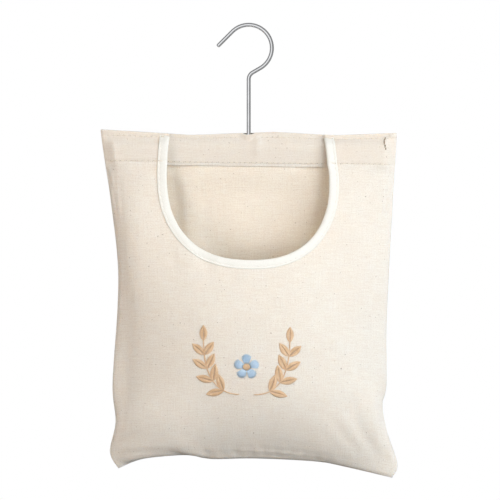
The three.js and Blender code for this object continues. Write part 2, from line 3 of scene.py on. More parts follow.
import bpy
import numpy as np
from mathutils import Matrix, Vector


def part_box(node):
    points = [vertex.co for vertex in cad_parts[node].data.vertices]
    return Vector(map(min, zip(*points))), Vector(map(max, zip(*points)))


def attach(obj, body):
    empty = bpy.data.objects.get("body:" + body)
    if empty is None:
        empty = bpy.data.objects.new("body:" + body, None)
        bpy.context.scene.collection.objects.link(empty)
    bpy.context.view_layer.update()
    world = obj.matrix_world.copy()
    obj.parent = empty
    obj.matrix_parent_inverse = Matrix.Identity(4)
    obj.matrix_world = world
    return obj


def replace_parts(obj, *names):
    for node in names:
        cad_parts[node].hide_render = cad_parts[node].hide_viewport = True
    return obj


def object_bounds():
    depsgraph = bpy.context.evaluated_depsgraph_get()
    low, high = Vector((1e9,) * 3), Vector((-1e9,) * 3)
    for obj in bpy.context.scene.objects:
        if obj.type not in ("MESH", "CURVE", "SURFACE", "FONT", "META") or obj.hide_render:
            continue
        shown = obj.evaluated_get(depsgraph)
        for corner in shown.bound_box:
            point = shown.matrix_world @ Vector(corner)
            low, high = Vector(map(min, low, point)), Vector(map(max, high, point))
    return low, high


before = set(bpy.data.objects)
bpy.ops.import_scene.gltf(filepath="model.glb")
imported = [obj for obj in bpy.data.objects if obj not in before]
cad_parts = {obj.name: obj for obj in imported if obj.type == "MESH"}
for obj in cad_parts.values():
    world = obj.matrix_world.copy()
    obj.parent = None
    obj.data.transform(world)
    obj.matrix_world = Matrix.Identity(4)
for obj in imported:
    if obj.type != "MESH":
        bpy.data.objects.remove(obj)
cad_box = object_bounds()

# Looks of the peg bag: hung canvas, bound mouth, rows of stitches, embroidery, wire hook and wooden bar.
# Lengths are in millimetres, as in the part's solids. Meshes are written in metres.
MM = 0.001

# Thickness of the cloth, and its thread
CLOTH = 0.9
TAPE = 0.6
ALLOWANCE = 1.5
RIM_SHARE = 0.4  # of a sheet's thickness
THREAD_R = 0.3
STITCH_PITCH = 5.5
STITCH_SHARE = 0.72  # of the pitch, on top of the cloth
STITCH_ARCH = 0.34
STITCH_SINK = 0.16
STITCH_SLANT = 0.3
# Discs of painted shade where the needle holes are, at the ends of stitches
HOLE_HALF = 0.4
HOLE_W_HALF = 0.34
HOLE_LIFT = 0.22
ROW_INSET = 1.5  # from the side seams to the ends of a row
ROW_STOPS = 120

# Top of the bag, measured down from the top edge along the cloth
HANG_DROP = 106.5
TOP_HALF = 147.5
TOP_TILT = 1.5
TOP_ROW = 4.5
LOWER_ROW = 29.5
STRIP_FOOT = 33
HALF_GAP = 0.65  # from the middle plane to the middle of a panel
FACING_STEP = 2
FRONT_STEP = 1.8
SEWN_SHARE = 0.7  # of the two steps above, where the side seams draw the layers together
SEWN_FADE = 8
BAR_DROP = (TOP_ROW + LOWER_ROW) / 2
BAR_PUFF = 4.5
PUFF_STEEPNESS = 1.6
PUFF_ROUNDING = 0.2
BAR_END_ROOM = 12.7
BAR_REACH = 5  # from the bar's middle to where its face rounds off
BAR_Z = (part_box("hanger_bar")[0].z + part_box("hanger_bar")[1].z) / 2 / MM
ROW_FORWARD = 3.4
ROW_FADE = 28
PARTING_HALF = 9
PARTING = 2.15
SLIT_HALF = 6.5
SLIT_DIP = 1.9

# Bag as hung
PANEL_H = 340
LEFT_DROP = 337
RIGHT_DROP = 342.5
FRONT_SWELL = 42
BACK_SWELL = 30
SWELL_SAG = 1.5  # how low the fullest level lies
SWELL_ROUNDING = 0.75
FRONT_FADE = 60
ROLL_REACH = 24
ROLL_FADE = 40
SPARE = 0.75
FRONT_TAKEN = 0.8
BACK_TAKEN = 0.5
FOOT_ROLL = 8
FOOT_ROLL_ACROSS = (-92, 32)  # place and half width
RIDGE = 2
RIDGE_ACROSS = (88, 12)
RIDGE_END = 210
CORNER_LEAN = 7
CORNER_REACH = 30
SIDE_PULL = 4
BOTTOM_PULL = 3
TOP_WAVE = [[-1, 1.8], [-0.55, -2.5], [0, 1.3], [0.6, -0.8], [0.85, -1.4], [1, 1.3]]
LEFT_INSET = [[0, 0], [0.1, 4.8], [0.2, 9.8], [0.38, 16.8], [0.52, 16.8], [0.75, 11.8], [0.86, 14.8],
              [0.95, 8.8], [1, 16.8]]
RIGHT_INSET = [[0, 0], [0.24, 4.8], [0.43, 8.2], [0.57, 10.2], [0.73, 10.2], [0.8, 15.5], [0.87, 9.2],
               [0.96, -0.8], [1, 4.2]]
BOTTOM_RISE = [[0, 0], [0.06, 8], [0.12, 12.5], [0.25, 16.3], [0.34, 13.2], [0.5, 15.1], [0.72, 14],
               [0.84, 9], [1, 0]]

# Mouth and its binding
MOUTH_SHIFT = -2
MOUTH_TOP_HALF = 77.8
MOUTH_HALF = 83.2
MOUTH_WIDEST = 53
MOUTH_DROP = 127
MOUTH_POWER = 2.3
BINDING_W = 8
BINDING_ROW = 2
BINDING_LIFT = 0.85  # of the tape's middle over the cloth's, along its row
BINDING_RISE = 1.1  # of a row of stitches that crosses the tape
BINDING_ENDS = slice(4, -4)  # the tape stops short of the top edge
BINDING_DIMPLE = 0.12
BINDING_DIMPLE_HALF = 0.8
# Section of the folded tape: from the mouth's edge into the cloth, and in front of the cloth's middle
BINDING_SECTION = [(8, 0.78), (7.6, 1.05), (7, 1.05), (6.5, 0.95), (6, 0.85), (5.5, 0.95), (4.5, 1.15),
                   (3, 1.3), (1.5, 1.35), (0.4, 1.25), (-0.5, 1.05), (-1.1, 0.6), (-1.3, 0), (-1.1, -0.6),
                   (-0.5, -1.05), (1, -1.15), (4, -1.05), (8, -0.9)]

# Fine forms of the cloth
SIDE_SEAM_ROLL = 1.6  # how far the cloth stands up beside a turned seam
SIDE_SEAM_RISE = 1.2
SIDE_SEAM_FADE = 9
FOOT_SEAM_ROLL = 2.6
FOOT_SEAM_RISE = 2.5
FOOT_SEAM_FADE = 14
FOOT_SEAM_END = 6
PINCH = 0.2  # how far a row of stitches draws the cloth in
PINCH_HALF = 1.3
TOP_PUCKER = 0.18
TOP_PUCKER_CHANGE = 0.12
TOP_PUCKER_RUN = 19
TOP_PUCKER_HALF = 3
FOOT_PUCKER = 1.8
FOOT_PUCKER_HALF = 2.6
FOOT_PUCKER_FADE = 9
FOOT_PUCKERS = (-106, -63, -50, 77)
RIPPLE = 0.3
RIPPLE_PITCH = 10
RIPPLE_TILT = 15
RIPPLE_ACROSS = (25, 60)
RIPPLE_UP = (14, 9)
GROOVE = 1.3
GROOVE_ACROSS = (17 - TOP_HALF, 9)
GROOVE_BEGIN = (90, 170)  # from none to full depth
GROOVE_END = (270, 325)  # and back to none
HOOK_FOLDS = [(2.6, 9, 5), (-0.7, -11, 6)]  # height, place and half width
STRIP_LEAN = 0.25
TUCK = 1.6
TUCK_FADE = 5
TUCK_FOOT = (4, 20)
TUCK_EDGE = 0.4
TUCK_LINE = [[141, 2.5], [136.5, 4], [135.5, 8], [136.5, 13], [138.5, 19]]
TUCK_SHADE_HALF = 0.45
TUCK_SHADE = (3, 16)

# Seam allowances
ALLOWANCE_W = 8
ALLOWANCE_ROOM = 2.2  # from the middle plane to the panels on either side
ALLOWANCE_WAVE = 0.8
ALLOWANCE_WAVE_RUN = 11

# Embroidery
MOTIF_CENTRE = np.array([-4, 233])
MOTIF_HALF_W = 43
MOTIF_HALF_H = 28
STEM_START = 7
LEAF_LENGTH = 19
LEAF_W = 7.4
LEAVES_PER_SIDE = 4
LEAF_TURN = 0.75
PETALS = 5
PETAL_R = 5.4
PETAL_RING_R = 7.4
EYE_R = 3.6
FLOSS_R = 0.36
FLOSS_STEP = 0.62
FLOSS_SINK = 0.1
SPRIG_HEIGHT = 0.55
SPRIG_CHANGE = 0.1
PETAL_HEIGHT = 0.65
EYE_HEIGHT = 1.2

# Wire hook
WIRE_R = 2
LOOP_R = 23.2
TIP_ANGLE = 135
TIP_LENGTH = 21
NECK_SLOPE = 30
NECK_BEND_R = 8
HEAD_R = 2.9
HEAD_H = 1.6
HEAD_CHAMFER = 0.3

# Cloth simulation
COLUMNS = 59
ROWS = 68
STEPS = 120
PASSES = 16
DAMPING = 0.9
FRONT_PRESSURE = 0.03
BACK_PRESSURE = 0.012
WEIGHT = 0.01
GOAL = 0.004  # pull back to the drawn hang
BOUND_GOAL = 0.2  # the same, where the binding holds the mouth's edge
LOAD_TOP = 200
TAUT = 0.85  # share of its folds that the back panel loses behind the mouth
TAUT_BESIDE = (40, 80)  # from all of that share to none
TAUT_BELOW = (MOUTH_DROP, MOUTH_DROP + 80)
EDGE_ROOM = 7
TAKE_UP = 0.975  # length of hung cloth, by its cut length
FILLING_STEPS = 300
# Rows down and columns across to a neighbour, and stiffness: yarns, bias and bending
LINKS = [(0, 1, 0.2), (1, 0, 0.2), (1, 1, 0.03), (1, -1, 0.03), (0, 2, 0.05), (2, 0, 0.05), (0, 4, 0.04),
         (4, 0, 0.04)]

# Floor, lamps and camera, in metres and watts
FLOOR_R = 1.2
FLOOR_DROP = 1.8
SKY_BELOW = 0.02
SKY_ABOVE = 0.04
LENS = 135
SENSOR_W = 36
VIEW_W = 0.5
CAMERA_X = 0.0013
CAMERA_Z = -0.2232
# Name, place, size, power and colour
LAMPS = [
    ("right_light", (1.1, -1.0, 0.1), 1.6, 31.2, (0.9, 0.94, 1)),
    ("left_light", (-1.15, -0.95, -0.2), 0.8, 10.2, (1, 0.91, 0.86)),
    ("top_light", (0, -1.3, 0.55), 0.8, 3.7, (1, 1, 1)),
    ("back_light", (-0.4, 1.5, 0.2), 1.2, 29.5, (1, 0.98, 0.95)),
]


def mix(start, end, share):
    return start + (end - start) * share


def ease(value, low, high):
    share = np.clip((value - low) / (high - low), 0, 1)
    return share * share * (3 - 2 * share)


def hill(value, place, half):
    """A smooth hill, 1 high at its place."""
    return np.exp(-((value - place) / half) ** 2)


def pair(first, second):
    return np.stack([first, second], -1)


def unit(vectors):
    return vectors / np.linalg.norm(vectors, axis=-1, keepdims=True)


def grid_normals(points):
    return unit(np.cross(np.gradient(points, axis=0), np.gradient(points, axis=1)))


def turned(vectors):
    """Flat vectors, turned by a right angle."""
    return pair(-vectors[..., 1], vectors[..., 0])


def run_along(line):
    """Distances of a line's points along it."""
    return np.concatenate([[0], np.cumsum(np.linalg.norm(np.diff(line, axis=0), axis=1))])


def along(line, run, distance):
    """Points at distances along a line."""
    return np.stack([np.interp(distance, run, line[:, k]) for k in range(line.shape[1])], -1)


def curve_through(knots):
    """A smooth curve through knots, as a function of the share of its length."""
    knots = np.array(knots, float)
    padded = np.vstack([knots[:1], knots, knots[-1:]])
    t = np.linspace(0, 1, 40, endpoint=False)[:, None]
    parts = []
    for before, start, end, after in zip(padded, padded[1:], padded[2:], padded[3:]):
        leave, arrive = (end - before) / 2, (after - start) / 2
        cubic = 2 * start - 2 * end + leave + arrive
        square = 3 * end - 3 * start - 2 * leave - arrive
        parts.append(cubic * t ** 3 + square * t ** 2 + leave * t + start)
    line = np.vstack([*parts, knots[-1:]])
    run = run_along(line)
    return lambda share: along(line, run, share * run[-1])


# Outline of the hung bag, seen from the front
top_left = np.array([-TOP_HALF, TOP_TILT - HANG_DROP])
top_right = np.array([TOP_HALF, -TOP_TILT - HANG_DROP])
left_edge = curve_through([top_left + (inset, -share * LEFT_DROP) for share, inset in LEFT_INSET])
right_edge = curve_through([top_right + (-inset, -share * RIGHT_DROP) for share, inset in RIGHT_INSET])
bottom_left, bottom_right = left_edge(1), right_edge(1)
bottom_knots = [mix(bottom_left, bottom_right, share) + (0, rise) for share, rise in BOTTOM_RISE]
bottom_edge = curve_through(bottom_knots)
top_wave = curve_through(TOP_WAVE)
foot_left = np.array([-TOP_HALF, bottom_left[1]])
foot_right = np.array([TOP_HALF, bottom_right[1]])


def spread(x, d):
    """Where a place on a flat panel, x across and d down, hangs when seen from the front."""
    across = (x / TOP_HALF + 1) / 2
    down = d / PANEL_H
    share, depth = across[..., None], down[..., None]
    from_left, from_right = (1 - share) ** SIDE_PULL, share ** SIDE_PULL
    foot = mix(foot_left, foot_right, share)
    left_pull = left_edge(down) - mix(top_left, foot_left, depth)
    right_pull = right_edge(down) - mix(top_right, foot_right, depth)
    foot_pull = (bottom_edge(across) - foot - (bottom_left - foot_left) * from_left
                 - (bottom_right - foot_right) * from_right)
    place = (mix(mix(top_left, top_right, share), foot, depth) + left_pull * from_left
             + right_pull * from_right + foot_pull * depth ** BOTTOM_PULL)
    place[..., 1] += top_wave(across)[..., 1] * (1 - ease(d, 0, 2 * TOP_ROW))
    return place


def near_bar(x):
    return ease(TOP_HALF - np.abs(x), 0, BAR_END_ROOM)


def bar_puff(x, d):
    """How far cloth stands off for the bar: level over its face, then straight to the rows of stitches."""
    level_with_bar = BAR_DROP + spread(x, BAR_DROP + 0 * d)[..., 1] - BAR_Z
    above = (d - TOP_ROW) / (level_with_bar - TOP_ROW)
    below = (LOWER_ROW - d) / (LOWER_ROW - level_with_bar)
    slope = PUFF_STEEPNESS * np.minimum(above, below)
    level = (1 + slope - np.hypot(1 - slope, PUFF_ROUNDING)) / 2
    return BAR_PUFF * near_bar(x) * np.maximum(0, level)


def casing_half(x, d):
    """How far the casing stands off its middle plane for the bar and for the hook's stem above it."""
    reach = np.maximum(0, 1 - (x / PARTING_HALF) ** 2)
    parting = np.where(d < BAR_DROP, PARTING * reach * reach, 0)
    return HALF_GAP + np.maximum(bar_puff(x, d), parting)


def fill(d, start):
    """The filled bag's swelling down its middle, from 0 at the seams to 1 at its fullest."""
    share = np.clip((d - start) / (PANEL_H - start), 0, 1)
    return np.maximum(0, np.sin(np.pi * share ** SWELL_SAG)) ** SWELL_ROUNDING


def swell(x, d, start):
    return (1 - (x / TOP_HALF) ** 2) * fill(d, start)


def beside_seam(away):
    return away / ROLL_REACH * np.exp(1 - away / ROLL_REACH)


def side_roll(x, d, spare):
    """Spare cloth that stands out beside the side seams where they are drawn in."""
    left_inset = left_edge(d / PANEL_H)[..., 0] + TOP_HALF
    right_inset = TOP_HALF - right_edge(d / PANEL_H)[..., 0]
    between = ease(d, STRIP_FOOT, STRIP_FOOT + ROLL_FADE) * ease(PANEL_H - d, 0, ROLL_FADE)
    beside = left_inset * beside_seam(TOP_HALF + x) + right_inset * beside_seam(TOP_HALF - x)
    return between * spare * beside


def foot_roll(x, d):
    """Spare cloth that stands out above the bottom seam, left of its middle."""
    aside = hill(x, *FOOT_ROLL_ACROSS)
    return FOOT_ROLL * (1 - (x / TOP_HALF) ** 2) * aside * beside_seam(PANEL_H - d)


def side_ridge(x, d):
    """Low ridges down the back panel, where its side rolls meet the swelling."""
    between = ease(d, STRIP_FOOT, STRIP_FOOT + ROLL_FADE) * (1 - ease(d, RIDGE_END - ROLL_FADE, RIDGE_END))
    return RIDGE * between * hill(np.abs(x), *RIDGE_ACROSS)


def corner_lean(x, d):
    """How far the bottom left corner leans back."""
    return CORNER_LEAN * np.exp(-((x + TOP_HALF) / CORNER_REACH) ** 2 - ((d - PANEL_H) / CORNER_REACH) ** 2)


def stood_off(x, d, y):
    """Points where a panel hangs, y behind the middle plane."""
    place = spread(x, d)
    return np.stack([place[..., 0], y + corner_lean(x, d), place[..., 1]], -1)


def row_forward(x, d):
    """How far the casing's lower row is drawn forward of the middle plane."""
    drawn = ease(d, BAR_DROP + BAR_REACH, LOWER_ROW) * (1 - ease(d, STRIP_FOOT, STRIP_FOOT + ROW_FADE))
    return ROW_FORWARD * near_bar(x) * drawn


def rolls_out(x, d, start, taken):
    """Spare cloth that stands out beside the seams, as far as the filling doesn't take it up."""
    return side_roll(x, d, SPARE * (1 - taken * fill(d, start) ** 3)) + foot_roll(x, d)


def back_hang(x, d):
    rolls = rolls_out(x, d, LOWER_ROW, BACK_TAKEN) + side_ridge(x, d)
    swelling = BACK_SWELL * swell(x, d, LOWER_ROW)
    return stood_off(x, d, casing_half(x, d) + swelling + rolls - row_forward(x, d))


def casing_hang(x, d):
    """The casing strip, with its top edge drawn down a little in front of the hook's stem."""
    dip = SLIT_DIP * np.maximum(0, 1 - (x / SLIT_HALF) ** 2) * (1 - ease(d, 0, TOP_ROW))
    to_row = np.clip((d - BAR_DROP) / (LOWER_ROW - BAR_DROP), 0, 1)
    below_bar = HALF_GAP + mix(bar_puff(x, BAR_DROP + 0 * d), ROW_FORWARD * near_bar(x), to_row)
    standing = np.where(d < BAR_DROP, casing_half(x, d), below_bar)
    return stood_off(x, d, -standing) - dip[..., None] * (0, 0, 1)


def sewn(x):
    """Share of the steps between layers that is left by the side seams."""
    return mix(SEWN_SHARE, 1, near_bar(x))


def front_hang(x, d):
    puff = np.where(d < BAR_DROP, bar_puff(x, d), BAR_PUFF * near_bar(x))
    fade = mix(SEWN_FADE, FRONT_FADE, near_bar(x))
    standing = 1 - ease(d, STRIP_FOOT, STRIP_FOOT + fade)
    stack = ((FACING_STEP + FRONT_STEP) * sewn(x) + puff) * standing
    rolls = rolls_out(x, d, TOP_ROW, FRONT_TAKEN)
    return stood_off(x, d, -HALF_GAP - stack - FRONT_SWELL * swell(x, d, TOP_ROW) - rolls)


def facing_hang(x, d):
    return front_hang(x, d) + FRONT_STEP * sewn(x)[..., None] * (0, 1, 0)


# Mouth, as cut in the flat front panel
def mouth_half(d):
    return MOUTH_HALF - (MOUTH_HALF - MOUTH_TOP_HALF) * ((MOUTH_WIDEST - d) / MOUTH_WIDEST) ** 2


def mouth_bottom(angle):
    across = np.sign(np.cos(angle)) * np.abs(np.cos(angle)) ** (2 / MOUTH_POWER)
    down = np.sin(angle) ** (2 / MOUTH_POWER)
    return pair(MOUTH_SHIFT - MOUTH_HALF * across, mix(MOUTH_WIDEST, MOUTH_DROP, down))


def in_mouth(x, d):
    aside = np.abs(x - MOUTH_SHIFT)
    below = np.maximum(0, d - MOUTH_WIDEST) / (MOUTH_DROP - MOUTH_WIDEST)
    rounded = (aside / MOUTH_HALF) ** MOUTH_POWER + below ** MOUTH_POWER < 1
    return np.where(d < MOUTH_WIDEST, aside < mouth_half(d), rounded)


# Cloth simulation: each panel is a grid of places whose links keep the lengths that they were cut to
def neighbours(grid, down, across):
    """A grid's places and the places that lie some rows down and columns across from them."""
    rows, columns = grid.shape[:2]
    first = slice(max(0, -across), columns - max(0, across))
    second = slice(max(0, across), columns - max(0, -across))
    return grid[:rows - down, first], grid[down:, second]


def panel_grid():
    return np.meshgrid(np.linspace(-TOP_HALF, TOP_HALF, COLUMNS + 1), np.linspace(0, PANEL_H, ROWS + 1))


def settle(hang, out, pressure, cut_away):
    """How far each place of a panel settles from its drawn hang, with its seams and the casing held."""
    x, d = panel_grid()
    drawn = hang(x, d)
    flat = pair(x, d)
    cloth = ~cut_away(x, d)
    held = (np.abs(x) == TOP_HALF) | (d == PANEL_H) | (d < STRIP_FOOT)
    free = (cloth & ~held)[..., None]
    load = pressure * ease(d, STRIP_FOOT, LOAD_TOP)[..., None]
    bound = cloth & (cut_away(x - BINDING_W, d) | cut_away(x + BINDING_W, d) | cut_away(x, d - BINDING_W))
    goal = np.where(bound, BOUND_GOAL, GOAL)[..., None]
    links = []
    for down, across, stiffness in LINKS:
        start, end = neighbours(flat, down, across)
        joined = np.logical_and(*neighbours(cloth, down, across))[..., None]
        length = TAKE_UP * np.linalg.norm(end - start, axis=-1, keepdims=True)
        links.append((down, across, length, stiffness * joined))

    place, before = drawn.copy(), drawn.copy()
    for _ in range(STEPS):
        push = out * load * grid_normals(place)
        motion = DAMPING * (place - before) - push + goal * (drawn - place)
        before = place.copy()
        place += free * (motion + (0, 0, -WEIGHT))
        for _ in range(PASSES):
            shift = np.zeros_like(place)
            for down, across, length, stiffness in links:
                start, end = neighbours(place, down, across)
                way = end - start
                pull = stiffness * (1 - length / np.linalg.norm(way, axis=-1, keepdims=True)) * way
                start_shift, end_shift = neighbours(shift, down, across)
                start_shift += pull
                end_shift -= pull
            place += free * shift
    return filled(place - drawn, cloth)


def filled(field, known):
    """A field with its unknown places filled in from their neighbours."""
    field = np.where(known[..., None], field, 0)
    for _ in range(FILLING_STEPS):
        padded = np.pad(field, ((1, 1), (1, 1), (0, 0)), "edge")
        mean = (padded[:-2, 1:-1] + padded[2:, 1:-1] + padded[1:-1, :-2] + padded[1:-1, 2:]) / 4
        field[~known] = mean[~known]
    return field


def sample(grid, x, d):
    """Smooth value of a grid over the flat panel at places on it."""
    column = np.clip((x / TOP_HALF + 1) / 2, 0, 1) * COLUMNS
    row = np.clip(d / PANEL_H, 0, 1) * ROWS
    left = np.minimum(column.astype(int), COLUMNS - 1)
    above = np.minimum(row.astype(int), ROWS - 1)
    total = np.zeros((*x.shape, 3))
    for i, row_weight in enumerate(cubic_weights(row - above)):
        for j, column_weight in enumerate(cubic_weights(column - left)):
            value = grid[np.clip(above + i - 1, 0, ROWS), np.clip(left + j - 1, 0, COLUMNS)]
            total += (row_weight * column_weight)[..., None] * value
    return total


def cubic_weights(t):
    return [(-t ** 3 + 2 * t ** 2 - t) / 2, (3 * t ** 3 - 5 * t ** 2 + 2) / 2,
            (-3 * t ** 3 + 4 * t ** 2 + t) / 2, (t ** 3 - t ** 2) / 2]


def well_in_mouth(x, d):
    """Past the mouth's edge by more than the grid's step, so that the edge itself lies on cloth."""
    beside = in_mouth(x - EDGE_ROOM, d) & in_mouth(x + EDGE_ROOM, d)
    return in_mouth(x, d) & beside & in_mouth(x, d + EDGE_ROOM)


def nowhere(x, d):
    return np.zeros(x.shape, bool)


def behind_mouth(x, d):
    """1 behind the middle of the mouth, 0 well beside or below it."""
    return (1 - ease(np.abs(x), *TAUT_BESIDE)) * (1 - ease(d, *TAUT_BELOW))


front_shift = settle(front_hang, -1, FRONT_PRESSURE, well_in_mouth)
back_shift = settle(back_hang, 1, BACK_PRESSURE, nowhere)
back_shift *= (1 - TAUT * behind_mouth(*panel_grid()))[..., None]
no_shift = np.zeros_like(back_shift)


# Fine forms of the cloth, as a distance outwards
def rising(away, reach):
    return 1 - np.exp(-away / reach)


def seam_roll(x, d):
    side, foot = TOP_HALF - np.abs(x), PANEL_H - d
    beside = rising(side, SIDE_SEAM_RISE) * np.exp(-side / SIDE_SEAM_FADE) * rising(foot, SIDE_SEAM_RISE)
    above = rising(foot, FOOT_SEAM_RISE) * np.exp(-foot / FOOT_SEAM_FADE) * rising(side, FOOT_SEAM_END)
    return np.maximum(SIDE_SEAM_ROLL * beside, FOOT_SEAM_ROLL * above)


def row_pinch(d):
    return sum(PINCH * hill(d, row, PINCH_HALF) for row in (TOP_ROW, LOWER_ROW))


tuck_line = curve_through(TUCK_LINE)(np.linspace(0, 1, 40))


def past_tuck(x, d):
    return x - np.interp(d, tuck_line[:, 1], tuck_line[:, 0])


def tuck(x, d):
    """Cloth folded over itself past the bar's right end, along a line down from the top edge."""
    past = past_tuck(x, d)
    height = TUCK * (1 - ease(d, *TUCK_FOOT)) * ease(d, 0, tuck_line[0, 1])
    return height * ease(past, -TUCK_EDGE, TUCK_EDGE) * np.exp(-np.maximum(past, 0) / TUCK_FADE)


def top_puckers(x, d):
    """Cloth drawn up between the stitches of the top row."""
    strength = TOP_PUCKER + TOP_PUCKER_CHANGE * np.sin(x / TOP_PUCKER_RUN)
    return strength * np.sin(2 * np.pi * (x + d) / STITCH_PITCH) * hill(d, TOP_ROW, TOP_PUCKER_HALF)


def foot_puckers(x, d):
    """Short creases up from the bottom seam."""
    depth = sum(hill(x, place, FOOT_PUCKER_HALF) for place in FOOT_PUCKERS)
    return FOOT_PUCKER * depth * np.exp(-(PANEL_H - d) / FOOT_PUCKER_FADE)


def foot_ripples(x, d):
    """Level ripples above the middle of the bottom seam."""
    up = PANEL_H - d
    wave = np.sin(2 * np.pi * (up + x / RIPPLE_TILT) / RIPPLE_PITCH)
    return RIPPLE * wave * hill(x, *RIPPLE_ACROSS) * hill(up, *RIPPLE_UP)


def left_groove(x, d):
    """A shallow groove beside the left seam."""
    between = ease(d, *GROOVE_BEGIN) * (1 - ease(d, *GROOVE_END))
    return GROOVE * between * hill(x, *GROOVE_ACROSS)


def hook_fold(x, d):
    """The casing's cloth, drawn into a soft ridge and a dip where the hook goes in."""
    fold = sum(height * hill(x, place, half) for height, place, half in HOOK_FOLDS)
    return fold * np.clip(1 - d / LOWER_ROW, 0, 1) * ease(d, 0, TOP_ROW)


class Panel:
    """A cloth panel. A place on it is x across from its middle and d down from its top edge."""

    def __init__(self, hang, shift, out, relief):
        self.hang = hang
        self.shift = shift
        self.out = out
        self.relief = relief

    def point(self, x, d):
        point = self.hang(x, d) + sample(self.shift, x, d)
        point[..., 1] += self.out * self.relief(x, d)
        return point

    def normal(self, x, d):
        """Out of the bag."""
        step = 0.4
        left, right = np.maximum(x - step, -TOP_HALF), np.minimum(x + step, TOP_HALF)
        above, below = np.maximum(d - step, 0), np.minimum(d + step, PANEL_H)
        across = self.point(right, d) - self.point(left, d)
        down = self.point(x, below) - self.point(x, above)
        return -self.out * unit(np.cross(down, across))


def front_relief(x, d):
    raised = seam_roll(x, d) + top_puckers(x, d) + foot_ripples(x, d) + tuck(x, d)
    return raised - 2 * row_pinch(d) - foot_puckers(x, d) - left_groove(x, d)


def casing_relief(x, d):
    """The strip's turned foot leans on the back panel below its row."""
    foot_lean = STRIP_LEAN * np.maximum(0, d - LOWER_ROW)
    return hook_fold(x, d) + top_puckers(x, d) - row_pinch(d) / 2 - foot_lean


front = Panel(front_hang, front_shift, -1, front_relief)
facing = Panel(facing_hang, front_shift, -1, lambda x, d: -row_pinch(d))
casing = Panel(casing_hang, no_shift, -1, casing_relief)
back = Panel(back_hang, back_shift, 1, lambda x, d: seam_roll(x, d) - row_pinch(d))


# Materials
def srgb(*levels):
    """A colour as seen on a screen, from levels of 0 to 255."""
    return (*(((v / 255 + 0.055) / 1.055) ** 2.4 for v in levels), 1)


class Nodes:
    """Short calls that add nodes to a material or a world."""

    def __init__(self, owner):
        owner.use_nodes = True
        self.tree = owner.node_tree

    def feed(self, socket, value):
        if isinstance(value, bpy.types.NodeSocket):
            self.tree.links.new(value, socket)
        else:
            socket.default_value = value

    def add(self, kind, inputs, output=0, **settings):
        node = self.tree.nodes.new("ShaderNode" + kind)
        for setting, value in settings.items():
            setattr(node, setting, value)
        for socket, value in inputs.items():
            self.feed(node.inputs[socket], value)
        return node.outputs[output]

    def math(self, operation, first, second=0.0):
        return self.add("Math", {0: first, 1: second}, operation=operation)

    def weigh(self, first, first_share, second, second_share):
        return self.math("ADD", self.math("MULTIPLY", first, first_share),
                         self.math("MULTIPLY", second, second_share))

    def ramp(self, value, low, high, start=0.0, end=1.0):
        return self.add("MapRange", {0: value, 1: low, 2: high, 3: start, 4: end})


class Look(Nodes):
    """A principled material."""

    def __init__(self, name, **constants):
        self.material = bpy.data.materials.new(name)
        super().__init__(self.material)
        self.surface = self.tree.nodes["Principled BSDF"]
        for socket, value in constants.items():
            self.surface.inputs[socket.replace("_", " ")].default_value = value

    def place(self):
        return self.add("TexCoord", {}, output="Object")

    def noise(self, vector, scale, detail=2.0, low=0.3, high=0.7):
        """Noise from 0 to 1 between two levels, with its scale in features per metre along each axis."""
        scaled = self.add("VectorMath", {0: vector, 1: scale}, operation="MULTIPLY")
        noise = self.add("TexNoise", {"Vector": scaled, "Scale": 1.0, "Detail": detail})
        return self.ramp(noise, low, high)

    def blend(self, share, first, second):
        return self.add("Mix", {0: share, 6: first, 7: second}, output=2, data_type="RGBA")

    def bump(self, height, distance, strength):
        normal = self.add("Bump", {"Height": height, "Distance": distance, "Strength": strength})
        self.feed(self.surface.inputs["Normal"], normal)

    def colour(self, value):
        self.feed(self.surface.inputs["Base Color"], value)


def woven(name, light, dark, speck, pitch, specks, top_shade_share, through):
    """Plain-woven cotton with uneven yarns and specks of seed husk, darker with painted shade over its
    two-layered top.
    """
    look = Look(name, Roughness=0.95, Sheen_Weight=0.12, Sheen_Roughness=0.5, Specular_IOR_Level=0.2,
                Subsurface_Weight=through, Subsurface_Scale=1.3 * MM, Subsurface_Radius=(1, 0.9, 0.8))
    flat = look.add("UVMap", {}, uv_map="flat")
    warp = look.noise(flat, (1.0 / pitch, 45, 1), low=0.37, high=0.63)
    weft = look.noise(flat, (55, 1.0 / pitch, 1), low=0.37, high=0.63)
    cloud = look.noise(flat, (22, 22, 1), detail=4.0)
    grain = look.noise(flat, (800, 800, 1), low=0.4, high=0.6)
    yarns = look.weigh(warp, 0.2, weft, 0.3)
    broad = look.weigh(cloud, 0.15, grain, 0.35)
    cotton = look.blend(look.math("ADD", yarns, broad), dark, light)
    across, down = (look.add("SeparateXYZ", {0: flat}, output=axis) for axis in (0, 1))
    # Painted shade: over the two-layered top, above the lower row, the colour is drawn towards the dark one
    top_shade = look.ramp(down, LOWER_ROW * MM, (LOWER_ROW + 1) * MM, top_shade_share, 0.0)
    cotton = look.blend(top_shade, cotton, dark)
    husks = look.noise(flat, (430, 430, 1), detail=1.0, low=0.71, high=0.79)
    look.colour(look.blend(look.math("MULTIPLY", husks, specks), cotton, speck))
    turns = [look.math("SINE", look.math("MULTIPLY", way, math.pi / pitch)) for way in (across, down)]
    over = look.math("MULTIPLY", *turns)
    look.bump(look.weigh(over, 0.4, yarns, 1.0), 0.12 * MM, 0.8)
    return look.material


def spun(name, light, dark, roughness, fuzz):
    """Sewing thread or embroidery floss, with strands along its length."""
    look = Look(name, Roughness=roughness, Sheen_Weight=fuzz, Specular_IOR_Level=0.35)
    place = look.place()
    shade = look.noise(place, (170, 170, 170))
    strand = look.noise(place, (2400, 2400, 2400), detail=1.0)
    look.colour(look.blend(look.weigh(shade, 0.5, strand, 0.5), dark, light))
    look.bump(strand, 0.06 * MM, 0.6)
    return look.material


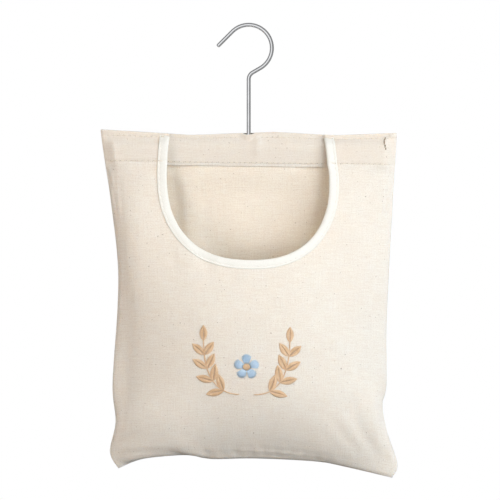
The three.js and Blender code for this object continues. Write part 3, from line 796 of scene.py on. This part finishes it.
def drawn_wire():
    look = Look("bright_steel", Metallic=1.0)
    place = look.place()
    cloud = look.noise(place, (60, 60, 60), detail=3.0)
    look.colour(look.blend(cloud, srgb(220, 221, 223), srgb(238, 239, 241)))
    scratch = look.noise(place, (900, 900, 90), detail=3.0)
    look.feed(look.surface.inputs["Roughness"], look.ramp(scratch, 0, 1, 0.14, 0.24))
    return look.material


def planed_wood():
    look = Look("beech", Roughness=0.6, Specular_IOR_Level=0.3)
    place = look.place()
    grain = look.noise(place, (22, 600, 600), detail=4.0)
    pore = look.noise(place, (160, 2200, 2200))
    tone = look.weigh(grain, 0.75, pore, 0.25)
    look.colour(look.blend(tone, srgb(176, 134, 88), srgb(214, 178, 130)))
    look.bump(tone, 0.1 * MM, 0.5)
    return look.material


canvas = woven("canvas", srgb(252, 245, 233), srgb(232, 218, 202), srgb(146, 120, 90),
               pitch=0.7 * MM, specks=0.55, top_shade_share=0.35, through=0.7)
tape = woven("binding_cotton", srgb(252, 250, 240), srgb(243, 240, 230), srgb(230, 223, 210),
             pitch=0.45 * MM, specks=0.2, top_shade_share=0, through=0)
thread = spun("sewing_thread", srgb(246, 236, 218), srgb(222, 206, 180), 0.75, 0.1)
floss = {
    "tan_floss": spun("tan_floss", srgb(240, 212, 178), srgb(214, 174, 130), 0.45, 0.2),
    "blue_floss": spun("blue_floss", srgb(208, 226, 240), srgb(158, 188, 212), 0.45, 0.2),
}
steel = drawn_wire()
wood = planed_wood()
tape_thread = spun("tape_thread", srgb(252, 248, 238), srgb(236, 229, 214), 0.75, 0.1)
# Painted shade: dark colours for the needle holes, the fold under the tuck and the inside of the hook's slit
dark_shade = spun("hole_shade", srgb(140, 114, 82), srgb(104, 82, 56), 1.0, 0)
faint_shade = spun("faint_needle_hole", srgb(172, 150, 122), srgb(138, 116, 88), 1.0, 0)
slit_shade = spun("slit_shade", srgb(96, 78, 56), srgb(64, 50, 36), 1.0, 0)


# Meshes
def add_object(name, data):
    thing = bpy.data.objects.new(name, data)
    bpy.context.scene.collection.objects.link(thing)
    return thing


def add_piece(name, points, faces, materials, node, body="bag", flat=None):
    mesh = bpy.data.meshes.new(name)
    mesh.from_pydata((points * MM).tolist(), [], [list(map(int, face)) for face in faces])
    mesh.polygons.foreach_set("use_smooth", [True] * len(mesh.polygons))
    if flat is not None:
        corners = np.zeros(len(mesh.loops), int)
        mesh.loops.foreach_get("vertex_index", corners)
        mesh.uv_layers.new(name="flat").data.foreach_set("uv", (flat[corners] * MM).ravel())
    for material in materials:
        mesh.materials.append(material)
    piece = add_object(name, mesh)
    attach(piece, body)
    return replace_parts(piece, node)


def add_sheet(name, points, normals, flat, thickness, material, node):
    """A closed sheet of even thickness about a grid of points, with a rounded rim."""
    rows, columns = points.shape[:2]
    count = rows * columns
    number = np.arange(count).reshape(rows, columns)
    border = np.concatenate([number[:, 0], number[-1, 1:], number[-2::-1, -1], number[0, -2:0:-1]])
    inner = number[np.clip(border // columns, 1, rows - 2), np.clip(border % columns, 1, columns - 2)]
    points, normals, flat = points.reshape(-1, 3), normals.reshape(-1, 3), flat.reshape(-1, 2)
    rim = points[border] + unit(points[border] - points[inner]) * thickness * RIM_SHARE
    half = normals * thickness / 2
    top, bottom, edge = border, border + count, np.arange(len(border)) + 2 * count
    corners = [number[:-1, :-1], number[1:, :-1], number[1:, 1:], number[:-1, 1:]]
    quads = np.stack(corners, -1).reshape(-1, 4)
    faces = [quads, quads[:, ::-1] + count]
    for upper, lower in ((top, edge), (edge, bottom)):
        faces.append(np.stack([np.roll(upper, -1), upper, lower, np.roll(lower, -1)], -1))
    faces = np.concatenate(faces)
    first = points[quads[0]]
    if np.dot(np.cross(first[1] - first[0], first[2] - first[0]), normals[0]) < 0:
        faces = faces[:, ::-1]
    points = np.concatenate([points + half, points - half, rim])
    flat = np.concatenate([flat, flat, flat[border]])
    return add_piece(name, points, faces, [material], node, flat=flat)


def add_cloth(name, panel, x, d, node):
    return add_sheet(name, panel.point(x, d), panel.normal(x, d), pair(x, d), CLOTH, canvas, node)


def tubes(paths, ups, radii, sides):
    """Points and faces of closed tubes: paths and ups are tubes by points, radii one for each point."""
    count, stops = paths.shape[:2]
    ahead = unit(np.gradient(paths, axis=1))
    aside = unit(np.cross(ahead, ups))
    up = np.cross(aside, ahead)
    angle = np.linspace(0, 2 * np.pi, sides, endpoint=False)[:, None]
    ring = np.cos(angle) * aside[:, :, None] + np.sin(angle) * up[:, :, None]
    points = paths[:, :, None] + np.asarray(radii)[:, None, None] * ring
    number = np.arange(count * stops * sides).reshape(count, stops, sides)
    after = np.roll(number, -1, axis=2)
    walls = np.stack([number[:, :-1], after[:, :-1], after[:, 1:], number[:, 1:]], -1).reshape(-1, 4)
    caps = [*number[:, 0, ::-1], *number[:, -1]]
    return points.reshape(-1, 3), [*walls, *caps]


# Hook
def level_arc(centre, radius, start, end):
    angle = np.radians(np.linspace(start, end, 60))
    return centre + radius * np.stack([np.cos(angle), 0 * angle, np.sin(angle)], -1)


def add_hook():
    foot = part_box("hook")[0].z / MM
    loop = level_arc((0, 0, WIRE_R - LOOP_R), LOOP_R, TIP_ANGLE, NECK_SLOPE - 90)
    lead = math.radians(TIP_ANGLE - 90)
    tip = loop[0] - TIP_LENGTH * np.array([math.cos(lead), 0, math.sin(lead)])
    reach = NECK_BEND_R * math.tan(math.radians(90 - NECK_SLOPE) / 2)
    neck_z = loop[-1][2] - loop[-1][0] * math.tan(math.radians(NECK_SLOPE))
    bend = level_arc((NECK_BEND_R, 0, neck_z - reach), NECK_BEND_R, 90 + NECK_SLOPE, 180)
    blunt = [[0, 0.45], [0.15, 0.75], [0.5, 0.95], [1, 1]]
    nose = [mix(tip, loop[0], away * WIRE_R / TIP_LENGTH) for away, share in blunt]
    levels = (HEAD_H + HEAD_CHAMFER, HEAD_H, HEAD_H - HEAD_CHAMFER, HEAD_CHAMFER, 0)
    head = [(0, 0, foot + level) for level in levels]
    path = np.concatenate([nose, loop, bend, np.linspace(bend[-1], head[0], 30)[1:-1], head])
    wide = [WIRE_R, HEAD_R * 0.9, HEAD_R, HEAD_R, HEAD_R * 0.8]
    radii = [WIRE_R * share for away, share in blunt] + [WIRE_R] * (len(path) - len(blunt) - len(wide)) + wide
    points, faces = tubes(path[None], np.tile((0, 1, 0), (1, len(path), 1)), radii, 28)
    return add_piece("hook_wire", points, faces, [steel], "hook", body="hook")


add_hook()
for node, material in (("hook_washer", steel), ("hanger_bar", wood)):
    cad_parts[node].data.materials.clear()
    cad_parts[node].data.materials.append(material)


# Panels, with a row of places at each row of stitches and close columns beside the seams
SEAM_STEPS = np.concatenate([np.arange(14, 3, -0.8), [2.2, 1.2, 0.5, 0]])
BAND_ROWS = np.concatenate([[0], np.arange(0.5, STRIP_FOOT), [STRIP_FOOT]])


def horseshoe():
    """The mouth's edge on the flat front panel and the panel's own edge, from left shoulder to right."""
    rows = np.concatenate([BAND_ROWS, np.linspace(STRIP_FOOT, MOUTH_WIDEST, 12, endpoint=False)[1:]])
    share = np.linspace(0, 3, 211)
    round_outer = pair(np.clip(share - 1, 0, 1) * 2 * TOP_HALF - TOP_HALF,
                       mix(MOUTH_WIDEST, PANEL_H, np.clip(np.minimum(share, 3 - share), 0, 1)))
    left_inner = pair(MOUTH_SHIFT - mouth_half(rows), rows)
    right_inner = pair(MOUTH_SHIFT + mouth_half(rows), rows)
    left_outer = pair(np.full(len(rows), -TOP_HALF), rows)
    inner = np.concatenate([left_inner, mouth_bottom(np.pi * share / 3), right_inner[::-1]])
    outer = np.concatenate([left_outer, round_outer, (left_outer * (-1, 1))[::-1]])
    return inner, outer


mouth_edge, panel_edge = horseshoe()
reach = np.linalg.norm(panel_edge - mouth_edge, axis=1)[:, None]
inward = np.linspace(0, 1, 72, endpoint=False) * (reach - SEAM_STEPS[0])
share = np.concatenate([inward, reach - SEAM_STEPS], 1) / reach
front_grid = np.moveaxis(mix(mouth_edge[:, None], panel_edge[:, None], share[..., None]), -1, 0)
front_cloth = add_cloth("front_cloth", front, *front_grid, "front_panel")


def side_steps(end, step):
    """Places from the middle out to an end, closer together at the end."""
    return np.concatenate([np.arange(0, end - SEAM_STEPS[0], step), end - SEAM_STEPS])


half_columns = side_steps(TOP_HALF, 2.5)
hook_columns = np.linspace(-12, 12, 25)
columns = np.unique(np.concatenate([-half_columns, half_columns, hook_columns]))
back_rows = np.concatenate([BAND_ROWS, STRIP_FOOT + side_steps(PANEL_H - STRIP_FOOT, 3.5)[1:]])
back_grid = np.meshgrid(columns, back_rows)
back_cloth = add_cloth("back_cloth", back, *back_grid, "back_panel")
casing_grid = np.meshgrid(columns, BAND_ROWS)
casing_cloth = add_cloth("casing_cloth", casing, *casing_grid, "casing_strip")
facing_rows = BAND_ROWS[:, None]
for side, name in ((-1, "left_facing"), (1, "right_facing")):
    share = np.linspace(0, 1, 40)
    x = mix(MOUTH_SHIFT + side * (mouth_half(facing_rows) + BINDING_W + 1), side * TOP_HALF, share)
    add_cloth(name + "_cloth", facing, x, facing_rows + 0 * x, name)


def shade(cloth, x, d, near, material, inner=False):
    """Paint shade on a cloth's faces at places that pass a test, on its outer or inner side."""
    cloth.data.materials.append(material)
    chosen = near((x[:-1, :-1] + x[1:, 1:]) / 2, (d[:-1, :-1] + d[1:, 1:]) / 2)
    for index in np.flatnonzero(chosen):
        cloth.data.polygons[int(index) + inner * chosen.size].material_index = 1


def in_slit(x, d):
    return (np.abs(x) < SLIT_HALF) & (d < TOP_ROW)


def under_tuck(x, d):
    top, foot = TUCK_SHADE
    return (np.abs(past_tuck(x, d)) < TUCK_SHADE_HALF) & (d > top) & (d < foot)


# Painted shade on the cloth inside the hook's slit and along the fold under the tuck
shade(back_cloth, *back_grid, in_slit, slit_shade, inner=True)
shade(casing_cloth, *casing_grid, in_slit, slit_shade, inner=True)
shade(front_cloth, *front_grid, under_tuck, dark_shade)


# Binding round the mouth
edge_out = turned(unit(np.gradient(mouth_edge, axis=0)))
edge_point = front.point(*mouth_edge.T)
edge_normal = front.normal(*mouth_edge.T)
edge_inward = unit(front.point(*(mouth_edge + edge_out).T) - edge_point)
edge_run = run_along(edge_point)


def on_binding(place, lift):
    """Points beside the mouth's edge: place from the edge into the cloth, and lift in front of it."""
    flat = mouth_edge + edge_out * np.maximum(place, 0)
    clear = edge_inward * np.minimum(place, 0)
    return front.point(*flat.T) + clear + edge_normal * lift


def add_binding():
    """The tape, folded over the mouth's edge and drawn in by its stitches in front."""
    dimple = BINDING_DIMPLE * np.cos(2 * np.pi * edge_run / STITCH_PITCH)
    lines = []
    for place, lift in BINDING_SECTION:
        drawn_in = dimple * hill(place, BINDING_W - BINDING_ROW, BINDING_DIMPLE_HALF) * (lift > 0)
        lines.append(on_binding(place, (lift - drawn_in)[:, None]))
    points = np.stack(lines, 1)[BINDING_ENDS]
    section_run = run_along(np.array(BINDING_SECTION))
    flat = pair(*np.broadcast_arrays(edge_run[BINDING_ENDS, None], section_run))
    normals = grid_normals(points)
    return add_sheet("binding_tape", points, normals, flat, TAPE, tape, "mouth_binding")


binding = add_binding()


# Rows of stitches
def add_stitches(name, line, normals, node, yarn, hole_shade=None):
    """Lock stitches along a line on the cloth's face, with painted shade on discs where needle holes show at
    their ends.
    """
    run = run_along(line)
    starts = np.arange(0.4 * STITCH_PITCH, run[-1] - STITCH_PITCH, STITCH_PITCH)
    t = np.linspace(0, 1, 7)
    spots = starts[:, None] + STITCH_PITCH * STITCH_SHARE * t
    ups = unit(along(normals, run, spots))
    paths = along(line, run, spots)
    aside = unit(np.cross(np.gradient(paths, axis=1), ups))
    lift = np.sin(np.pi * t) ** 0.6 * STITCH_ARCH - STITCH_SINK
    slant = STITCH_SLANT * (t - 0.5)
    paths += ups * lift[:, None] + aside * slant[:, None]
    points, faces = tubes(paths, ups, THREAD_R * np.array([0.7, 0.95, 1, 1, 1, 0.95, 0.7]), 7)
    if hole_shade is None:
        return add_piece(name, points, faces, [yarn], node)
    rim = np.linspace(0, 2 * np.pi, 8, endpoint=False)[:, None]
    ends = paths[:, [0, -1]].reshape(-1, 3)
    up, across = (v[:, [0, -1]].reshape(-1, 1, 3) for v in (ups, aside))
    lengthwise = np.cross(up, across)
    spot = HOLE_HALF * np.cos(rim) * lengthwise + HOLE_W_HALF * np.sin(rim) * across + HOLE_LIFT * up
    holes = (ends[:, None] + spot).reshape(-1, 3)
    hole_faces = np.arange(len(holes)).reshape(-1, 8) + len(points)
    points = np.concatenate([points, holes])
    piece = add_piece(name, points, [*faces, *hole_faces], [yarn, hole_shade], node)
    for polygon in piece.data.polygons[len(faces):]:
        polygon.material_index = 1
    return piece


def add_row(name, panel, x, row, node, lift=0):
    # Painted shade for the needle holes, darker on the top rows
    hole_shade = dark_shade if row == TOP_ROW else faint_shade
    d = np.full(x.shape, float(row))
    normals = panel.normal(x, d)
    line = panel.point(x, d) + normals * np.broadcast_to(CLOTH / 2 + lift, x.shape)[..., None]
    return add_stitches(name, line, normals, node, thread, hole_shade)


for side, name in ((-1, "left"), (1, "right")):
    for d, row in ((TOP_ROW, "top"), (LOWER_ROW, "facing")):
        edge = MOUTH_SHIFT + side * mouth_half(d)
        x = np.linspace(edge + side * 0.5, side * (TOP_HALF - ROW_INSET), ROW_STOPS)
        lift = BINDING_RISE * (1 - ease(np.abs(x - edge), BINDING_W - 0.6, BINDING_W + 0.4))
        add_row(f"{name}_{row}_thread", front, x, d, f"{name}_{row}_stitches", lift)
    slit_end = side * (PARTING_HALF + 2)
    in_sight = np.linspace(slit_end, MOUTH_SHIFT + side * (MOUTH_TOP_HALF - 3), ROW_STOPS)
    add_row(f"{name}_casing_top_thread", casing, in_sight, TOP_ROW, f"{name}_casing_top_stitches")
    x = np.linspace(slit_end, side * (TOP_HALF - ROW_INSET), ROW_STOPS)
    add_row(f"{name}_back_top_thread", back, x, TOP_ROW, f"{name}_back_top_stitches")
x = np.linspace(-TOP_HALF + ROW_INSET, TOP_HALF - ROW_INSET, 2 * ROW_STOPS)
add_row("casing_thread", casing, x, LOWER_ROW, "casing_stitches")
add_row("back_casing_thread", back, x, LOWER_ROW, "back_casing_stitches")
binding_line = on_binding(BINDING_W - BINDING_ROW, BINDING_LIFT + TAPE / 2)
add_stitches("binding_thread", binding_line, edge_normal, "binding_stitches", tape_thread)


# Seam allowances inside the bag, from where the panels leave room for them
def add_allowance(name, place):
    """A strip along a seam. place turns distances in from the seam into places on the flat panels."""
    tries = np.arange(0, 15, 0.1)
    x, d = np.broadcast_arrays(*place(tries))
    room = np.minimum(-front.point(x, d)[..., 1], back.point(x, d)[..., 1])
    begin = tries[np.argmax(room > ALLOWANCE_ROOM, axis=1)][:, None]
    x, d = np.broadcast_arrays(*place(begin + np.linspace(0, ALLOWANCE_W, 6)))
    seen = spread(x, d)
    wave = np.linspace(0, ALLOWANCE_WAVE, 6) * np.sin((x + d) / ALLOWANCE_WAVE_RUN)
    points = np.stack([seen[..., 0], wave, seen[..., 1]], -1)
    normals = grid_normals(points)
    return add_sheet(name + "_cloth", points, normals, pair(x, d), ALLOWANCE, canvas, name)


long_way = np.linspace(0.25, 0.9, 90)[:, None] * PANEL_H
cross_way = np.linspace(-0.72, 0.72, 90)[:, None] * TOP_HALF
allowances = [
    add_allowance("left_allowance", lambda inset: (inset - TOP_HALF, long_way)),
    add_allowance("right_allowance", lambda inset: (TOP_HALF - inset, long_way)),
    add_allowance("bottom_allowance", lambda inset: (cross_way, PANEL_H - inset)),
]


# Embroidery: straight stitches of floss, laid side by side on the front panel
def add_floss(name, node, starts, ends, height, slot):
    """Stitches between flat places about the motif's centre, arched to a height over the cloth."""
    t = np.linspace(0, 1, 5)[:, None]
    flat = mix(starts[:, None], ends[:, None], t) + MOTIF_CENTRE
    x, d = flat[..., 0], flat[..., 1]
    ups = front.normal(x, d)
    heights = np.broadcast_to(height, len(starts))[:, None]
    arch = CLOTH / 2 - FLOSS_SINK + heights * np.sin(np.pi * t[:, 0]) ** 0.5
    paths = front.point(x, d) + ups * arch[..., None]
    points, faces = tubes(paths, ups, FLOSS_R * np.array([0.6, 1, 1, 1, 0.6]), 6)
    return add_piece(name, points, faces, [floss[slot]], node)


def leaf_stitches(base, direction, length):
    """Slanting stitches from a leaf's midrib to its two edges."""
    ahead = pair(math.cos(direction), math.sin(direction))
    aside = turned(ahead)
    root = np.arange(0.02, 0.94, FLOSS_STEP / length)[:, None]
    tip = np.minimum(root + 0.16, 1)
    starts, ends = [], []
    for side in (-1, 1):
        starts.append(base + ahead * root * length + aside * side * 0.15)
        ends.append(base + ahead * tip * length + aside * side * (2 * tip * (1 - tip) * LEAF_W + 0.2))
    return np.concatenate(starts), np.concatenate(ends)


def sprig_stitches():
    t = np.linspace(0, 1, 200)[:, None]
    start, end = pair(STEM_START, MOTIF_HALF_H), pair(MOTIF_HALF_W, -MOTIF_HALF_H)
    bend = pair(MOTIF_HALF_W, MOTIF_HALF_H)
    line = (1 - t) ** 2 * start + 2 * t * (1 - t) * bend + t ** 2 * end
    run = run_along(line)
    way = unit(np.gradient(line, axis=0))
    begin = np.arange(0, 0.95 * run[-1], 1.3)
    slant = turned(way) * 0.45
    stitches = [(along(line - slant, run, begin), along(line + slant, run, begin + 3.2))]
    for index in range(LEAVES_PER_SIDE + 1):
        share = mix(0.22, 0.96, index / LEAVES_PER_SIDE)
        base, heading = along(line, run, share * run[-1]), along(way, run, share * run[-1])
        turns = (-LEAF_TURN, LEAF_TURN) if index < LEAVES_PER_SIDE else (0,)
        for turn in turns:
            direction = math.atan2(heading[1], heading[0]) + turn
            stitches.append(leaf_stitches(base, direction, LEAF_LENGTH * mix(1, 0.8, share)))
    return [np.concatenate(ends) for ends in zip(*stitches)]


def petal_stitches():
    """Stitches out from the blossom's eye to the round ends of its petals."""
    starts, ends = [], []
    for petal in range(PETALS):
        angle = 2 * math.pi * petal / PETALS - math.pi / 2
        ahead = pair(math.cos(angle), math.sin(angle))
        aside = turned(ahead)
        offset = np.arange(-PETAL_R + 0.5, PETAL_R - 0.4, FLOSS_STEP)[:, None]
        lap = 0.35 * np.where(np.arange(len(offset)) % 2, 1, -1)[:, None]
        starts.append(ahead * (EYE_R - 0.4) + aside * offset * 0.4)
        ends.append(ahead * (PETAL_RING_R + np.sqrt(PETAL_R ** 2 - offset ** 2) + lap) + aside * offset)
    return np.concatenate(starts), np.concatenate(ends)


def eye_stitches():
    across = np.arange(-EYE_R + 0.4, EYE_R - 0.3, FLOSS_STEP)
    half = np.sqrt(EYE_R ** 2 - across ** 2)
    return pair(across, -half), pair(across, half)


sprig_start, sprig_end = sprig_stitches()
uneven = SPRIG_HEIGHT + SPRIG_CHANGE * np.sin(np.arange(len(sprig_start)) * 2.4)
for mirror, name in ((-1, "left_sprig"), (1, "right_sprig")):
    flip = np.array([mirror, 1])
    add_floss(name + "_floss", name, sprig_start * flip, sprig_end * flip, uneven, "tan_floss")
add_floss("blossom_floss", "blossom", *petal_stitches(), PETAL_HEIGHT, "blue_floss")
add_floss("eye_floss", "blossom_eye", *eye_stitches(), EYE_HEIGHT, "tan_floss")


# The front sheet's area as cut, worked out but not kept
def declare(area=None):
    area = None if area is None else area * MM * MM


x, d = mouth_edge.T
mouth_area = abs(np.sum(x * np.roll(d, -1) - d * np.roll(x, -1))) / 2
declare(2 * TOP_HALF * PANEL_H - mouth_area)
declare()
declare()
for name in ("left_facing_cloth", "right_facing_cloth"):
    declare()


# Floor, light and camera
def add_light(name, place, size, power, colour):
    """A square lamp aimed at the middle of the bag."""
    lamp = bpy.data.lights.new(name, "AREA")
    lamp.size = size
    lamp.energy = power
    lamp.color = colour
    light = add_object(name, lamp)
    light.location = place
    light.visible_glossy = False
    light.visible_camera = False
    aim = (cad_box[0] + cad_box[1]) / 2 - light.location
    light.rotation_euler = aim.to_track_quat("-Z", "Y").to_euler()


def add_floor():
    """A round white floor that fades into the white backdrop."""
    ring = np.linspace(0, 2 * np.pi, 64, endpoint=False)
    circle = np.stack([np.cos(ring), np.sin(ring), 0 * ring], -1) * FLOOR_R
    circle[:, 2] = cad_box[0].z - FLOOR_DROP
    mesh = bpy.data.meshes.new("floor")
    mesh.from_pydata(circle.tolist(), [], [list(range(64))])
    add_object("floor", mesh)
    look = Look("floor", Roughness=0.9)
    look.colour(srgb(246, 245, 243))
    flat_place = look.add("VectorMath", {0: look.place(), 1: (1, 1, 0)}, operation="MULTIPLY")
    out = look.add("VectorMath", {0: flat_place}, output="Value", operation="LENGTH")
    far = look.ramp(out, 0.3 * FLOOR_R, 0.95 * FLOOR_R)
    fade = look.math("MULTIPLY", far, look.add("LightPath", {}, output="Is Camera Ray"))
    white = look.add("Emission", {})
    both = look.add("MixShader", {0: fade, 1: look.surface.outputs[0], 2: white})
    look.feed(look.tree.nodes["Material Output"].inputs["Surface"], both)
    mesh.materials.append(look.material)


def set_world():
    """White to the camera, a bright panel beside it to metal, and a faint light from above to the rest."""
    world = bpy.data.worlds.new("studio")
    bpy.context.scene.world = world
    nodes = Nodes(world)
    background = nodes.tree.nodes["Background"]
    background.inputs["Color"].default_value = (1, 1, 1, 1)
    way = nodes.add("TexCoord", {}, output="Generated")

    def level_towards(direction, low, high, start, end):
        towards = nodes.add("VectorMath", {0: way, 1: direction}, output="Value", operation="DOT_PRODUCT")
        return nodes.ramp(towards, low, high, start, end)

    def choose(ray, first, second):
        share = nodes.add("LightPath", {}, output=ray)
        return nodes.add("Mix", {"Factor": share, "A": first, "B": second})

    light = level_towards((0, 0, 1), -1, 1, SKY_BELOW, SKY_ABOVE)
    panel = level_towards((-0.25, -0.97, 0), 0.78, 0.9, 0.3, 1.1)
    light = choose("Is Glossy Ray", light, panel)
    for ray in ("Is Camera Ray", "Is Transmission Ray"):
        light = choose(ray, light, 1.0)
    nodes.feed(background.inputs["Strength"], light)


add_floor()
set_world()
for lamp in LAMPS:
    add_light(*lamp)

lens = bpy.data.cameras.new("camera")
lens.lens = LENS
lens.sensor_width = SENSOR_W
camera = add_object("camera", lens)
camera.location = (CAMERA_X, -VIEW_W * LENS / SENSOR_W, CAMERA_Z)
camera.rotation_euler = (math.pi / 2, 0, 0)
bpy.context.scene.camera = camera
bpy.context.scene.view_settings.view_transform = "Standard"

bpy.context.view_layer.update()
